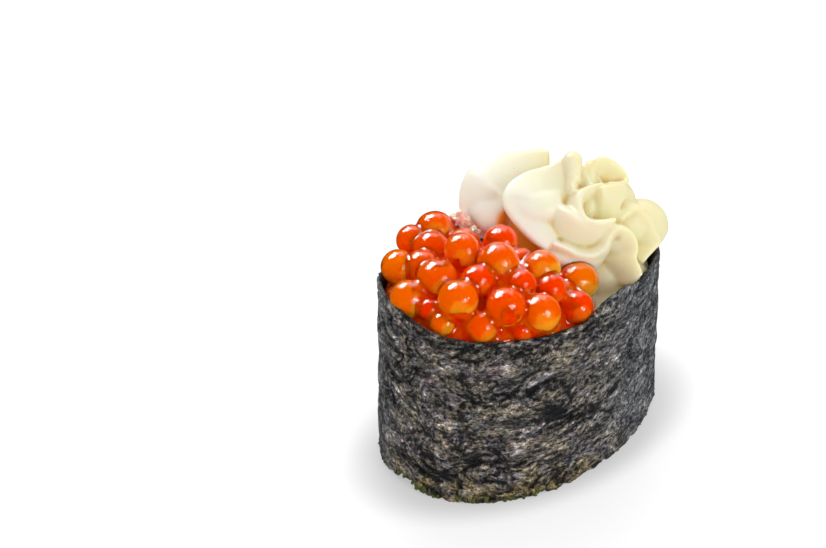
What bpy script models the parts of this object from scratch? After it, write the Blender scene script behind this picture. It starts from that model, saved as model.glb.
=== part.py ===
"""Gunkan sushi: a block of rice in a band of nori, topped with salmon roe and piped cream.

Metres, +Z up. The origin is under the middle of the band, on the surface that the sushi
stands on. The band's long axis lies along X, with the roe at the -X end and the cream at
the +X end. A turn is an angle round the band, measured from +X towards +Y.
"""

import math
import random

import bmesh
import bpy
from mathutils import Matrix, Vector, noise

MM = 0.001

# Nori band: an oval wrap, a little wider at the roe end, with its lap at the back
BAND_LENGTH = 51.6 * MM
BAND_WIDTH = 31.9 * MM
BAND_HEIGHT = 30.0 * MM
BAND_THICKNESS = 0.4 * MM
BAND_TAPER = 0.08
BAND_FLARE = 0.015
BAND_LOBES = ((3, 0.023, 0.018),)
BAND_TUCKS = ((168, 26, 0.045),)
BAND_COLUMNS = 96
BAND_ROWS = 5
BAND_EDGE_ANGLE = math.radians(40)
LAP_START = math.radians(64)
LAP_LENGTH = math.radians(28)
LAP_RAMP = math.radians(14)
LAP_GAP = 0.15 * MM
OUTLINE_STEP = math.radians(0.5)

# Upper edge: turn in degrees and height in mm
RIM = ((0, 27.0), (30, 27.2), (60, 27.2), (90, 26.8), (105, 27.6), (120, 29.2), (150, 33.0), (175, 32.6),
       (200, 30.6), (215, 30.0), (230, 29.7), (245, 29.3), (256, 29.0), (265, 28.9), (270, 29.4), (277, 30.6),
       (285, 30.7), (292, 30.0), (300, 28.8), (306, 29.1), (313, 28.6), (321, 28.3), (330, 27.5), (345, 26.9))
# Lower edge: places where the torn edge stands clear of the surface (turn, width, height)
EDGE_LIFTS = ((183, 9, 1.2 * MM), (-40, 7, 0.5 * MM), (40, 8, 0.4 * MM))

# Pieces that touch keep this gap
GAP = 0.35 * MM

# Rice block, which fills the lower part of the band
RICE_TOP = 19.0 * MM
RICE_LEVELS = (0.0, RICE_TOP / 2)
RICE_UNEVENNESS = 0.9 * MM
RICE_LUMP = 5.0 * MM
RICE_COLUMNS = 48
RICE_RINGS = 5
RICE_EDGE_ANGLE = math.radians(50)

# Face where roe and cream meet: a wall across the band that leans over the roe and bulges round one egg
DIVIDE_X = 0.5 * MM
DIVIDE_SLANT = -0.17
DIVIDE_LEAN = -0.55
DIVIDE_BULGE = 4.0 * MM
DIVIDE_BULGE_Y = -8.5 * MM
DIVIDE_BULGE_WIDTH = 3.5 * MM

# Roe heap: eggs on top (x, y, z, radius, in mm)
HEAP_EGGS = (
    (-8.5, 11.8, 34.6, 3.1),
    (-12.6, 12.7, 34.0, 2.4),
    (-12.3, 8.1, 34.5, 2.85),
    (-18.9, 8.2, 33.7, 2.8),
    (-11.2, 2.0, 36.6, 2.95),
    (-17.4, 0.6, 34.8, 3.2),
    (-21.3, 3.1, 31.6, 3.1),
    (-4.2, 1.1, 35.8, 2.8),
    (-9.3, -4.2, 36.7, 3.3),
    (-3.0, -7.1, 34.5, 3.0),
    (3.5, -8.5, 30.1, 3.3),
    (-18.4, -5.5, 34.5, 3.15),
    (-13.2, -10.5, 33.5, 3.1),
    (-8.5, -13.2, 31.8, 3.15),
    (-0.7, -12.9, 29.4, 2.65),
    (-16.9, -9.2, 30.7, 2.6),
    (-20.6, -4.7, 30.6, 2.2),
    (-3.9, -10.3, 32.8, 2.5),
    (-21.0, -1.9, 31.9, 1.9),
    (-11.4, -12.3, 29.3, 2.5),
    (-14.0, -4.8, 35.5, 2.7),
    (-7.0, 6.5, 33.7, 2.8),
    (-16.5, 5.5, 34.0, 2.8),
)
# Layers of eggs under those: how deep their middles lie below a dome, and how closely they may press together
HEAP_MIDDLE = Vector((-10.0, 1.0)) * MM
HEAP_REACH = Vector((16.0, 17.0)) * MM
HEAP_CROWN = 7.5 * MM
FILL_LAYERS = ((0.2 * MM, 0.86), (2.2 * MM, 0.68))
FILL_STEP = 1.1 * MM
FILL_EGG = (2.25 * MM, 2.85 * MM)
FILL_CLEAR = 0.8
FILL_SEED = 5
WALL_CLEAR = 0.35 * MM
# Mass under the eggs
HEAP_CORE_DEPTH = 1.2 * MM
HEAP_CORE_RIM = 2.5 * MM
HEAP_CORE_COLUMNS = 60
HEAP_CORE_RINGS = 12
HEAP_TRIANGLES = 3700
HEAP_VOXEL = 0.6 * MM

# Cream: a core with piped ridges over it. A ridge has the points of its crest (mm), then its half width, its
# depth, how far it leans away from the eye of the swirl, as a share of its half width, and how hollow it is
CREAM_CORE_MIDDLE = Vector((10.5, 1.5, 28.0)) * MM
CREAM_CORE_REACH = Vector((12.5, 8.0, 12.5)) * MM
CREAM_CORE_TURN = math.radians(-42)
CREAM_EYE = Vector((8.0, -5.0, 42.0)) * MM
CREAM_RIDGES = (
    # outer lobe
    (((-3.0, 9.4, 33.6), (-3.2, 12.0, 35.6), (-2.5, 13.3, 37.6), (-0.8, 14.2, 40.1), (1.7, 14.0, 42.0),
      (5.8, 11.6, 43.5), (9.2, 8.5, 44.3), (10.5, 6.7, 44.5)),
     3.2, 9.0, 0.8, 0.3),
    # face of the outer lobe
    (((-2.0, 11.6, 37.5), (-1.2, 9.7, 38.3), (-0.1, 8.0, 38.6), (1.1, 6.5, 38.9)),
     4.4, 5.0, 0.0, 0.0),
    # big fold
    (((0.7, -4.2, 35.0), (-0.6, -1.1, 36.9), (-1.2, 2.7, 39.4), (-0.7, 4.7, 41.0), (1.4, 5.5, 42.5),
      (4.6, 5.2, 43.4), (7.4, 4.1, 43.8), (9.6, 2.9, 44.9)),
     3.8, 9.0, 0.8, 0.0),
    # face of the big fold
    (((-0.3, 4.5, 40.7), (0.9, 2.9, 41.2), (2.4, 1.5, 41.5), (4.2, 0.5, 41.6), (6.7, 0.2, 41.5)),
     3.6, 4.0, 0.0, 0.0),
    # middle fold
    (((6.1, 1.9, 39.3), (5.1, -1.1, 40.2), (5.0, -3.3, 40.2), (5.5, -5.4, 39.7), (6.6, -7.0, 38.8),
      (8.2, -8.2, 38.5), (10.3, -8.4, 38.5)),
     3.0, 8.0, 0.0, 0.0),
    # lip of the middle fold
    (((12.5, -4.0, 42.7), (10.2, -3.3, 42.5), (8.4, -3.2, 42.1), (7.2, -4.3, 40.9), (6.7, -5.8, 39.9),
      (7.0, -7.4, 39.3), (8.5, -8.5, 39.3), (11.0, -8.8, 39.0)),
     1.6, 6.0, -0.4, 0.0),
    # lower fold
    (((1.4, -4.5, 36.2), (2.9, -6.5, 35.4), (4.1, -8.0, 34.6), (5.9, -9.2, 34.3), (7.9, -9.6, 35.0),
      (9.2, -9.4, 36.7), (10.7, -9.6, 37.7), (12.0, -10.3, 37.3), (13.1, -11.0, 35.7), (13.2, -11.6, 33.8),
      (12.6, -11.9, 32.3), (12.9, -12.7, 30.9), (12.9, -13.2, 29.5), (12.4, -13.6, 27.9)),
     2.2, 9.0, -0.3, 0.0),
    # flank
    (((1.0, -4.1, 33.8), (2.2, -6.0, 33.5), (3.9, -7.8, 33.1), (5.8, -9.0, 33.1), (7.9, -9.0, 33.0),
      (9.6, -8.3, 33.1)),
     3.0, 7.0, 0.0, 0.0),
    # right lobe
    (((12.8, -8.0, 37.5), (14.1, -7.9, 38.2), (15.6, -8.1, 38.7), (17.0, -8.5, 38.3), (17.9, -9.0, 36.7),
      (18.7, -9.6, 34.7), (19.2, -10.6, 32.5), (18.1, -10.7, 31.7), (16.6, -10.7, 30.8), (15.2, -10.7, 29.8)),
     2.8, 9.0, 0.5, 0.0),
    # right middle fold
    (((11.3, -4.8, 42.6), (13.3, -5.0, 42.3), (15.4, -5.2, 41.7), (16.8, -5.4, 40.1), (16.9, -5.8, 37.8)),
     3.0, 8.0, 0.6, 0.0),
    # cup rim
    (((13.0, -0.9, 45.4), (14.6, -1.0, 45.2), (16.4, -1.3, 44.3), (17.4, -2.2, 43.3), (17.9, -3.4, 42.1),
      (17.3, -4.4, 41.6), (15.5, -4.2, 41.8), (13.6, -3.7, 42.3)),
     1.2, 6.0, 0.0, 0.0),
    # leaf between the nub and the cup
    (((13.0, 1.2, 43.0), (13.1, 0.3, 44.5), (12.5, -1.3, 43.6), (11.6, -2.4, 41.9), (10.6, -3.6, 40.1),
      (9.4, -4.7, 38.6)),
     2.1, 6.0, 0.0, 0.0),
    # nub
    (((11.0, 2.2, 45.5), (10.1, 1.1, 44.7), (9.0, -0.3, 43.6), (7.7, -2.1, 42.5)),
     1.3, 4.0, 0.0, 0.0),
    # back folds
    (((16.5, 1.3, 42.6), (20.0, 0.8, 39.4), (22.1, -0.4, 34.7), (22.5, -2.8, 32.0)),
     3.2, 9.0, 0.3, 0.0),
    (((16.7, 3.8, 41.7), (21.0, 4.6, 38.4), (24.1, 3.9, 33.5), (24.9, 2.5, 30.4)),
     3.2, 9.0, 0.3, 0.0),
    (((13.2, 4.3, 43.0), (17.5, 8.4, 39.1), (21.0, 9.3, 32.5)),
     3.2, 9.0, 0.3, 0.0),
    (((8.9, 9.1, 42.0), (10.9, 14.1, 37.7), (12.4, 14.5, 32.4)),
     3.2, 9.0, 0.3, 0.0),
    (((6.8, 12.2, 41.8), (6.6, 15.8, 38.0), (6.4, 17.7, 33.5), (5.8, 17.1, 29.4)),
     3.2, 9.0, 0.3, 0.0),
)
# Rounded masses between the ridges (middle and reach, mm)
CREAM_BALLS = (
    ((6.1, 3.3, 34.2), (4.5, 4.5, 4.5)),  # under the big fold
    ((10.7, 1.4, 44.7), (1.55, 1.55, 1.6)),  # nub
    ((10.1, 0.6, 43.8), (1.35, 1.35, 1.5)),
    ((9.4, -0.4, 42.9), (1.1, 1.1, 1.4)),
    ((12.1, 0.3, 40.5), (2.6, 2.6, 2.6)),  # between the folds
    ((12.7, -1.9, 37.8), (3.4, 3.4, 3.4)),
    ((15.8, -2.7, 37.3), (3.6, 3.6, 3.6)),
    ((16.1, -6.0, 34.7), (3.2, 3.2, 3.2)),
    ((12.6, -7.5, 33.7), (2.6, 2.6, 2.6)),
    ((13.1, -4.5, 37.0), (2.2, 2.2, 2.2)),
    ((19.4, -5.5, 32.6), (4.4, 4.4, 4.4)),  # face of the right lobe
    ((11.5, -5.0, 24.7), (5.4, 5.4, 7.0)),  # front
    ((14.3, -8.5, 24.4), (4.4, 4.4, 4.4)),
    ((2.0, 10.8, 33.7), (3.9, 3.9, 3.9)),  # under the outer lobe
    ((12.5, 4.5, 27.5), (12.0, 11.0, 8.0)),  # base
)
RIDGE_STEP = 1.0 * MM
RIDGE_AROUND = 20
RIDGE_SHARPNESS = 0.4
RIDGE_ROUND_END = 0.45
RIDGE_END = 0.06
CREAM_TRIANGLES = 4300
CREAM_VOXEL = 0.5 * MM
PLUG_TOP = 26.0 * MM
PLUG_COLUMNS = 72
BALL_DETAIL = 3

# The cream stands clear of the band here (turn, width, distance), down to this depth below the upper edge
RIM_ROOM = ((-22, 17, 3.0 * MM),)
RIM_ROOM_DEPTH = 9.0 * MM
# Toppings stay this much further from the upper edge, and hang over it only higher up, by this slope
EDGE_ROOM = 0.5 * MM
OVERHANG_START = 1.0 * MM
OVERHANG_SLOPE = 1.5
SMOOTHING = 2

NORI_COLOUR = (0.055, 0.052, 0.045, 1.0)
RICE_COLOUR = (0.80, 0.74, 0.66, 1.0)
ROE_COLOUR = (0.80, 0.10, 0.012, 1.0)
CREAM_COLOUR = (0.87, 0.80, 0.60, 1.0)
NORI_ROUGHNESS = 0.55
RICE_ROUGHNESS = 0.6
ROE_ROUGHNESS = 0.15
CREAM_ROUGHNESS = 0.45


def clear_scene():
    """Empty the scene of what a new file brings with it."""
    for item in list(bpy.data.objects):
        bpy.data.objects.remove(item, do_unlink=True)


def material(name, colour, roughness):
    """A Principled material of one colour."""
    made = bpy.data.materials.new(name)
    made.use_nodes = True
    shader = made.node_tree.nodes["Principled BSDF"]
    shader.inputs["Base Color"].default_value = colour
    shader.inputs["Roughness"].default_value = roughness
    shader.inputs["Metallic"].default_value = 0.0
    return made


def add_object(name, mesh, finish):
    """Put a mesh in the scene as a named object with its own material."""
    mesh.materials.clear()
    mesh.materials.append(finish)
    item = bpy.data.objects.new(name, mesh)
    bpy.context.scene.collection.objects.link(item)
    return item


def mesh_from(name, points, faces):
    """A mesh from points and faces, its faces turned outwards."""
    mesh = bpy.data.meshes.new(name)
    mesh.from_pydata([tuple(point) for point in points], [], faces)
    shape = bmesh.new()
    shape.from_mesh(mesh)
    bmesh.ops.recalc_face_normals(shape, faces=shape.faces)
    shape.to_mesh(mesh)
    shape.free()
    return mesh


def smoothstep(value):
    """0 below 0, 1 above 1, and a smooth rise between."""
    value = min(max(value, 0.0), 1.0)
    return value * value * (3 - 2 * value)


def bump(turn, bumps):
    """Height at a turn of a row of local rises and dips."""
    height = 0.0
    for middle, width, rise in bumps:
        away = (math.degrees(turn) - middle + 180) % 360 - 180
        height += rise * math.exp(-((away / width) ** 2))
    return height


def outline(turn, height):
    """The band's outer face at a turn and a height."""
    scale = 1 + BAND_FLARE * (1 - height / BAND_HEIGHT)
    for cycles, cosine, sine in BAND_LOBES:
        scale += cosine * math.cos(cycles * turn) + sine * math.sin(cycles * turn)
    scale -= bump(turn, BAND_TUCKS) * max(1 - height / BAND_HEIGHT, 0.0)
    taper = 1 - BAND_TAPER * math.cos(turn)
    across = BAND_WIDTH / 2 * math.sin(turn) * taper
    return Vector((BAND_LENGTH / 2 * math.cos(turn), across)) * scale


def inset(turn, height, depth):
    """The outline moved in by a depth, square to the band."""
    along = (outline(turn + OUTLINE_STEP, height) - outline(turn - OUTLINE_STEP, height)).normalized()
    return outline(turn, height) - Vector((along.y, -along.x)) * depth


def between(points, part):
    """A place between the middle two of four points, on a smooth curve through all of them."""
    first, second, third, fourth = points
    straight = (third - first) * part
    square = (2 * first - 5 * second + 4 * third - fourth) * part**2
    cube = (3 * second - first - 3 * third + fourth) * part**3
    return (2 * second + straight + square + cube) / 2


def rim_height(turn):
    """Height of the band's upper edge: a smooth closed curve through the named heights."""
    degrees = math.degrees(turn) % 360
    count = len(RIM)
    after = next((index for index in range(count) if RIM[index][0] > degrees), count)
    rows = [RIM[(after + shift) % count] for shift in (-2, -1, 0, 1)]
    near = rows[1][0]
    span = (rows[2][0] - near) % 360
    return between([height for _, height in rows], ((degrees - near) % 360) / span) * MM


def nori_band(finish):
    """One strip wrapped round the rice, its end lapped over its start."""
    whole = 2 * math.pi + LAP_LENGTH
    points = []
    faces = []
    around = 2 * (BAND_ROWS + 1)
    for column in range(BAND_COLUMNS + 1):
        swept = whole * column / BAND_COLUMNS
        turn = LAP_START + swept
        over = smoothstep((swept - 2 * math.pi + LAP_RAMP) / LAP_RAMP)
        outer = -over * (BAND_THICKNESS + LAP_GAP)
        low = bump(turn, EDGE_LIFTS)
        high = rim_height(turn)
        for row in range(BAND_ROWS + 1):
            height = low + (high - low) * row / BAND_ROWS
            points.append((*inset(turn, height, outer), height))
        for row in range(BAND_ROWS, -1, -1):
            height = low + (high - low) * row / BAND_ROWS
            points.append((*inset(turn, height, outer + BAND_THICKNESS), height))
    for column in range(BAND_COLUMNS):
        first = column * around
        for corner in range(around):
            after = (corner + 1) % around
            faces.append((first + corner, first + around + corner, first + around + after, first + after))
    last = BAND_COLUMNS * around
    for row in range(BAND_ROWS):
        mirror = around - 1 - row
        faces.append((row, row + 1, mirror - 1, mirror))
        faces.append((last + row, last + mirror, last + mirror - 1, last + row + 1))
    mesh = mesh_from("nori_band", points, faces)
    mesh.shade_smooth()
    mesh.set_sharp_from_angle(angle=BAND_EDGE_ANGLE)
    return add_object("nori_band", mesh, finish)


def rice_block(finish):
    """The rice, flat underneath and uneven on top."""
    points = []
    faces = []
    depth = BAND_THICKNESS + GAP
    for height in RICE_LEVELS:
        for column in range(RICE_COLUMNS):
            turn = 2 * math.pi * column / RICE_COLUMNS
            points.append((*inset(turn, height, depth), height))
    for ring in range(RICE_RINGS):
        reach = 1 - ring / RICE_RINGS
        for column in range(RICE_COLUMNS):
            turn = 2 * math.pi * column / RICE_COLUMNS
            place = inset(turn, RICE_TOP, depth) * reach
            lump = noise.noise(Vector((place.x, place.y, 0.0)) / RICE_LUMP)
            points.append((*place, RICE_TOP - RICE_UNEVENNESS * (1 + lump) / 2))
    points.append((0.0, 0.0, RICE_TOP - RICE_UNEVENNESS / 2))
    faces.append(tuple(range(RICE_COLUMNS)))
    rings = len(RICE_LEVELS) + RICE_RINGS
    for ring in range(rings - 1):
        for column in range(RICE_COLUMNS):
            after = (column + 1) % RICE_COLUMNS
            low = ring * RICE_COLUMNS
            high = low + RICE_COLUMNS
            faces.append((low + column, low + after, high + after, high + column))
    top = (rings - 1) * RICE_COLUMNS
    for column in range(RICE_COLUMNS):
        after = (column + 1) % RICE_COLUMNS
        faces.append((top + column, top + after, len(points) - 1))
    mesh = mesh_from("rice_block", points, faces)
    mesh.shade_smooth()
    mesh.set_sharp_from_angle(angle=RICE_EDGE_ANGLE)
    return add_object("rice_block", mesh, finish)


def divide(y, height):
    """Where along X the roe and the cream meet."""
    bulge = DIVIDE_BULGE * math.exp(-(((y - DIVIDE_BULGE_Y) / DIVIDE_BULGE_WIDTH) ** 2))
    lean = DIVIDE_LEAN * max(height - BAND_HEIGHT, 0.0)
    return DIVIDE_X + DIVIDE_SLANT * y + bulge + lean


def keep_in_band(point, side):
    """Move a point of a topping to where the band, the rice and the other topping leave room for it."""
    turn = math.atan2(point.y / BAND_WIDTH, point.x / BAND_LENGTH)
    edge = rim_height(turn)
    room = EDGE_ROOM + bump(turn, RIM_ROOM)
    over = max(point.z - edge - OVERHANG_START - room, 0.0) * OVERHANG_SLOPE
    room *= smoothstep((point.z - edge) / RIM_ROOM_DEPTH + 1)
    limit = inset(turn, min(point.z, edge), BAND_THICKNESS + GAP + room - over).length
    reach = math.hypot(point.x, point.y)
    if reach > limit:
        point.xy *= limit / reach
    point.z = max(point.z, RICE_TOP + GAP)
    wall = divide(point.y, point.z) + side * GAP
    point.x = side * max(side * point.x, side * wall)


def ball(mesh, middle, reach, turn=0.0):
    """Add a ball or an ellipsoid to a bmesh."""
    scale = Matrix.Diagonal((*reach, 1.0))
    place = Matrix.Translation(middle) @ Matrix.Rotation(turn, 4, "Z") @ scale
    bmesh.ops.create_icosphere(mesh, subdivisions=BALL_DETAIL, radius=1.0, matrix=place)


def smooth_line(points):
    """Points a step apart on a smooth curve through given points."""
    ends = [2 * points[0] - points[1], *points, 2 * points[-1] - points[-2]]
    line = []
    for index, start in enumerate(points[:-1]):
        count = max(round((points[index + 1] - start).length / RIDGE_STEP), 1)
        line.extend(between(ends[index:index + 4], step / count) for step in range(count))
    return [*line, points[-1]]


def ridge(mesh, crest, half_width, depth, lean, hollow):
    """Add one piped ridge to a bmesh: a wedge with a round crest, swept along a smooth crest line."""
    line = smooth_line([Vector(point) * MM for point in crest])
    last = len(line) - 1
    rings = []
    before = line[0] - CREAM_EYE
    for station, point in enumerate(line):
        along = (line[min(station + 1, last)] - line[max(station - 1, 0)]).normalized()
        out = point - CREAM_CORE_MIDDLE
        out = (out - along * out.dot(along)).normalized()
        side = along.cross(out)
        if side.dot(before) < 0:
            side.negate()
        before = side
        share = RIDGE_END + (1 - 2 * RIDGE_END) * station / last
        swell = math.sin(math.pi * share) ** RIDGE_ROUND_END
        width = half_width * MM * swell
        sink = depth * MM * (1 + swell) / 2
        ring = []
        for corner in range(RIDGE_AROUND):
            angle = 2 * math.pi * corner / RIDGE_AROUND
            down = (1 - math.cos(angle)) / 2
            across = math.sin(angle) * abs(math.sin(angle / 2)) ** RIDGE_SHARPNESS
            across -= lean * ((1 - hollow) * (1 - (1 - down) ** 2) + hollow * down**2)
            ring.append(mesh.verts.new(point + side * across * width - out * down * sink))
        rings.append(ring)
    join_rings(mesh, rings)


def join_rings(mesh, rings):
    """Add the faces of a closed tube through rings of vertices."""
    around = len(rings[0])
    for near, far in zip(rings, rings[1:]):
        for corner in range(around):
            after = (corner + 1) % around
            mesh.faces.new((near[corner], near[after], far[after], far[corner]))
    mesh.faces.new(reversed(rings[0]))
    mesh.faces.new(rings[-1])


def cream_plug(mesh):
    """Add the part of the cream that fills its end of the band, down to the rice."""
    rings = []
    for height in (RICE_TOP + GAP, PLUG_TOP):
        ring = []
        for column in range(PLUG_COLUMNS):
            turn = 2 * math.pi * column / PLUG_COLUMNS
            place = inset(turn, height, BAND_THICKNESS + GAP)
            place.x = max(place.x, divide(place.y, height) + GAP)
            ring.append(mesh.verts.new((*place, height)))
        rings.append(ring)
    join_rings(mesh, rings)


def merged(name, parts, voxel, triangles, side):
    """Join overlapping shapes into one skin, clear of the band, the rice and the other topping."""
    rough = bpy.data.meshes.new(name)
    bmesh.ops.recalc_face_normals(parts, faces=parts.faces)
    parts.to_mesh(rough)
    parts.free()
    item = bpy.data.objects.new(name, rough)
    bpy.context.scene.collection.objects.link(item)
    skin = item.modifiers.new("skin", "REMESH")
    skin.mode = "VOXEL"
    skin.voxel_size = voxel
    soften = item.modifiers.new("soften", "SMOOTH")
    soften.iterations = SMOOTHING
    thin = item.modifiers.new("thin", "DECIMATE")
    thin.ratio = 1.0
    bpy.context.view_layer.update()
    depsgraph = bpy.context.evaluated_depsgraph_get()
    faces = item.evaluated_get(depsgraph).to_mesh()
    faces.calc_loop_triangles()
    thin.ratio = triangles / len(faces.loop_triangles)
    bpy.context.view_layer.update()
    mesh = bpy.data.meshes.new_from_object(item.evaluated_get(bpy.context.evaluated_depsgraph_get()))
    bpy.data.objects.remove(item, do_unlink=True)
    for vertex in mesh.vertices:
        point = vertex.co.copy()
        keep_in_band(point, side)
        vertex.co = point
    mesh.name = name
    mesh.shade_smooth()
    return mesh


def heap_height(place):
    """Height of the dome that the eggs under the top ones lie below."""
    away = place - HEAP_MIDDLE
    fall = (away.x / HEAP_REACH.x) ** 2 + (away.y / HEAP_REACH.y) ** 2
    return BAND_HEIGHT + HEAP_CROWN * (1 - fall)


def keep_egg_in(middle, radius):
    """Move an egg's middle so that it stays inside the band, where it is lower than the band's edge."""
    turn = math.atan2(middle.y / BAND_WIDTH, middle.x / BAND_LENGTH)
    over = max(middle.z - rim_height(turn), 0.0)
    clear = math.sqrt(max(radius**2 - over**2, 0.0)) + WALL_CLEAR
    wall = inset(turn, BAND_HEIGHT, BAND_THICKNESS + clear)
    reach = math.hypot(middle.x, middle.y)
    if reach > wall.length:
        middle.xy *= wall.length / reach


def egg_fits(middle, radius, eggs, press):
    """Whether an egg has room between the others and inside the band, which it's moved into."""
    if middle.z < BAND_HEIGHT - radius:
        return False
    keep_egg_in(middle, radius)
    return all((middle - other).length > (radius + reach) * press for other, reach in eggs)


def heap_eggs():
    """Middle and radius of each egg in the heap."""
    eggs = [(Vector(middle) * MM, radius * MM) for *middle, radius in HEAP_EGGS]
    chance = random.Random(FILL_SEED)
    steps = int(2 * HEAP_REACH.x / FILL_STEP)
    for sink, press in FILL_LAYERS:
        for column in range(steps):
            for row in range(steps):
                spot = Vector((column + chance.random(), row + chance.random())) * FILL_STEP
                place = HEAP_MIDDLE - HEAP_REACH + spot
                radius = chance.uniform(*FILL_EGG)
                middle = Vector((*place, heap_height(place) - sink))
                inside = place.x < divide(place.y, middle.z) - radius * FILL_CLEAR
                if inside and egg_fits(middle, radius, eggs, press):
                    eggs.append((middle, radius))
    return eggs


def heap_core(mesh):
    """Add the mass under the eggs, which fills its end of the band down to the rice."""
    rings = []
    for ring in range(-1, HEAP_CORE_RINGS):
        share = 1 - max(ring, 0) / HEAP_CORE_RINGS
        row = []
        for column in range(HEAP_CORE_COLUMNS):
            turn = 2 * math.pi * column / HEAP_CORE_COLUMNS
            wall = inset(turn, BAND_HEIGHT, BAND_THICKNESS + GAP + WALL_CLEAR)
            wall.x = min(wall.x, divide(wall.y, BAND_HEIGHT) - GAP)
            place = HEAP_MIDDLE + (wall - HEAP_MIDDLE) * share
            height = max(heap_height(place) - HEAP_CORE_DEPTH, rim_height(turn) - HEAP_CORE_RIM)
            row.append(mesh.verts.new((*place, RICE_TOP + GAP if ring < 0 else height)))
        rings.append(row)
    join_rings(mesh, rings)


def roe_heap(finish):
    """The heap of roe as one bumpy solid."""
    parts = bmesh.new()
    for middle, radius in heap_eggs():
        ball(parts, middle, (radius,) * 3)
    heap_core(parts)
    mesh = merged("roe_heap", parts, HEAP_VOXEL, HEAP_TRIANGLES, -1)
    return add_object("roe_heap", mesh, finish)


def cream_swirl(finish):
    """The piped cream as one ridged solid."""
    parts = bmesh.new()
    for sizes in CREAM_RIDGES:
        ridge(parts, *sizes)
    ball(parts, CREAM_CORE_MIDDLE, CREAM_CORE_REACH, CREAM_CORE_TURN)
    for middle, reach in CREAM_BALLS:
        ball(parts, Vector(middle) * MM, Vector(reach) * MM)
    cream_plug(parts)
    mesh = merged("cream_swirl", parts, CREAM_VOXEL, CREAM_TRIANGLES, 1)
    return add_object("cream_swirl", mesh, finish)


def build():
    """Model the whole sushi."""
    clear_scene()
    nori_band(material("nori", NORI_COLOUR, NORI_ROUGHNESS))
    rice_block(material("rice", RICE_COLOUR, RICE_ROUGHNESS))
    roe_heap(material("roe", ROE_COLOUR, ROE_ROUGHNESS))
    cream_swirl(material("cream", CREAM_COLOUR, CREAM_ROUGHNESS))


build()
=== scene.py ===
"""Looks of the gunkan sushi: nori, rice, salmon roe and piped cream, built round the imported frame."""

import math
import random

import bmesh
import bpy
import numpy as np
from mathutils import Matrix, Vector, noise


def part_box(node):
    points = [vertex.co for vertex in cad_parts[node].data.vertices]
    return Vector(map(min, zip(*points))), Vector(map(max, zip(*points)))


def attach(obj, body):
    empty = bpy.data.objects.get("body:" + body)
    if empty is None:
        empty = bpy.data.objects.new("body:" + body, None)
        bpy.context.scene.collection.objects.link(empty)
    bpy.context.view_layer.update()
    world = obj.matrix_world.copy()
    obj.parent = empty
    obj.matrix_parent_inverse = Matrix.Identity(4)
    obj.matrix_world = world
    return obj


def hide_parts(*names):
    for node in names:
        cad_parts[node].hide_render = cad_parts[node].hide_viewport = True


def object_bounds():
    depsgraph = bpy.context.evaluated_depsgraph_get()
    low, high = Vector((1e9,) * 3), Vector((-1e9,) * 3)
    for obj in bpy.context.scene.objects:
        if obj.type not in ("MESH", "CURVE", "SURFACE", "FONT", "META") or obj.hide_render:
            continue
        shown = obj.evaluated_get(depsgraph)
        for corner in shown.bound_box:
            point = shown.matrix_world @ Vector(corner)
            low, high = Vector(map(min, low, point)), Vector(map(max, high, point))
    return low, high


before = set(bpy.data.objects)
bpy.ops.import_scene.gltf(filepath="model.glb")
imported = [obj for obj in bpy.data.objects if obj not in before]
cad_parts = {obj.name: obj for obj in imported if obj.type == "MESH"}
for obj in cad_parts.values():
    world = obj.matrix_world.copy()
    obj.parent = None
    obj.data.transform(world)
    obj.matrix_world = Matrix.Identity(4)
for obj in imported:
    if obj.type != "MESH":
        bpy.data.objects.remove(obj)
CAD_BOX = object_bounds()

MM = 0.001
BODY = "root"

# The band's outline, as in the frame
BAND_LENGTH = 51.6 * MM
BAND_WIDTH = 31.9 * MM
BAND_HEIGHT = 30.0 * MM
BAND_TAPER = 0.08
BAND_FLARE = 0.015
BAND_LOBES = ((3, 0.023, 0.018),)
BAND_TUCKS = ((168, 26, 0.045),)
BAND_THICKNESS = 0.4 * MM
LAP_START = math.radians(64)
LAP_LENGTH = math.radians(28)
LAP_RAMP = math.radians(14)
LAP_GAP = 0.15 * MM
# Height of the band's upper edge in millimetres, at turns in degrees
RIM = (
    (0, 27.0), (30, 27.2), (60, 27.2), (90, 26.8), (105, 27.6), (120, 29.2), (150, 33.0), (175, 32.6),
    (200, 30.6), (215, 30.0), (230, 29.7), (245, 29.3), (256, 29.0), (265, 28.9), (270, 29.4), (277, 30.6),
    (285, 30.7), (292, 30.0), (300, 28.8), (306, 29.1), (313, 28.6), (321, 28.3), (330, 27.5), (345, 26.9),
)
# Lifts of its lower edge: turn and width in degrees, and rise
EDGE_LIFTS = ((183, 9, 1.2 * MM), (-40, 7, 0.5 * MM), (40, 8, 0.4 * MM))
GAP = 0.35 * MM

# Nori sheet: fineness of its mesh
SHEET_COLUMNS = 620
SHEET_ROWS = 118
SHEET_BACK_ROWS = 12

# Nori sheet: wrinkles as size and height, then creases, tears and the fringe at its edges
WRINKLES = ((9.0 * MM, 0.30 * MM), (3.5 * MM, 0.18 * MM), (1.3 * MM, 0.12 * MM))
WARP_SIZE = 8.0 * MM
WARP_REACH = 4.0 * MM
WARP_SEED = 1
CREASE_LENGTH = 5.0 * MM
CREASE_WIDTH = 1.8 * MM
CREASE_SHARE = 0.16
CREASE_PATCH = 9.0 * MM
CREASE_DEPTH = 0.28 * MM
TORN_SIZE = 1.7 * MM
TORN_PATCH = 4.0 * MM
TORN_DEPTH = 0.75 * MM
TORN_RIM_SHARE = 0.5
FRINGE_HEIGHT = 1.3 * MM
FRINGE_FLARE = 0.45 * MM
FRINGE_PATCH = 5.0 * MM
LOW_SHARE = 0.35

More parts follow.
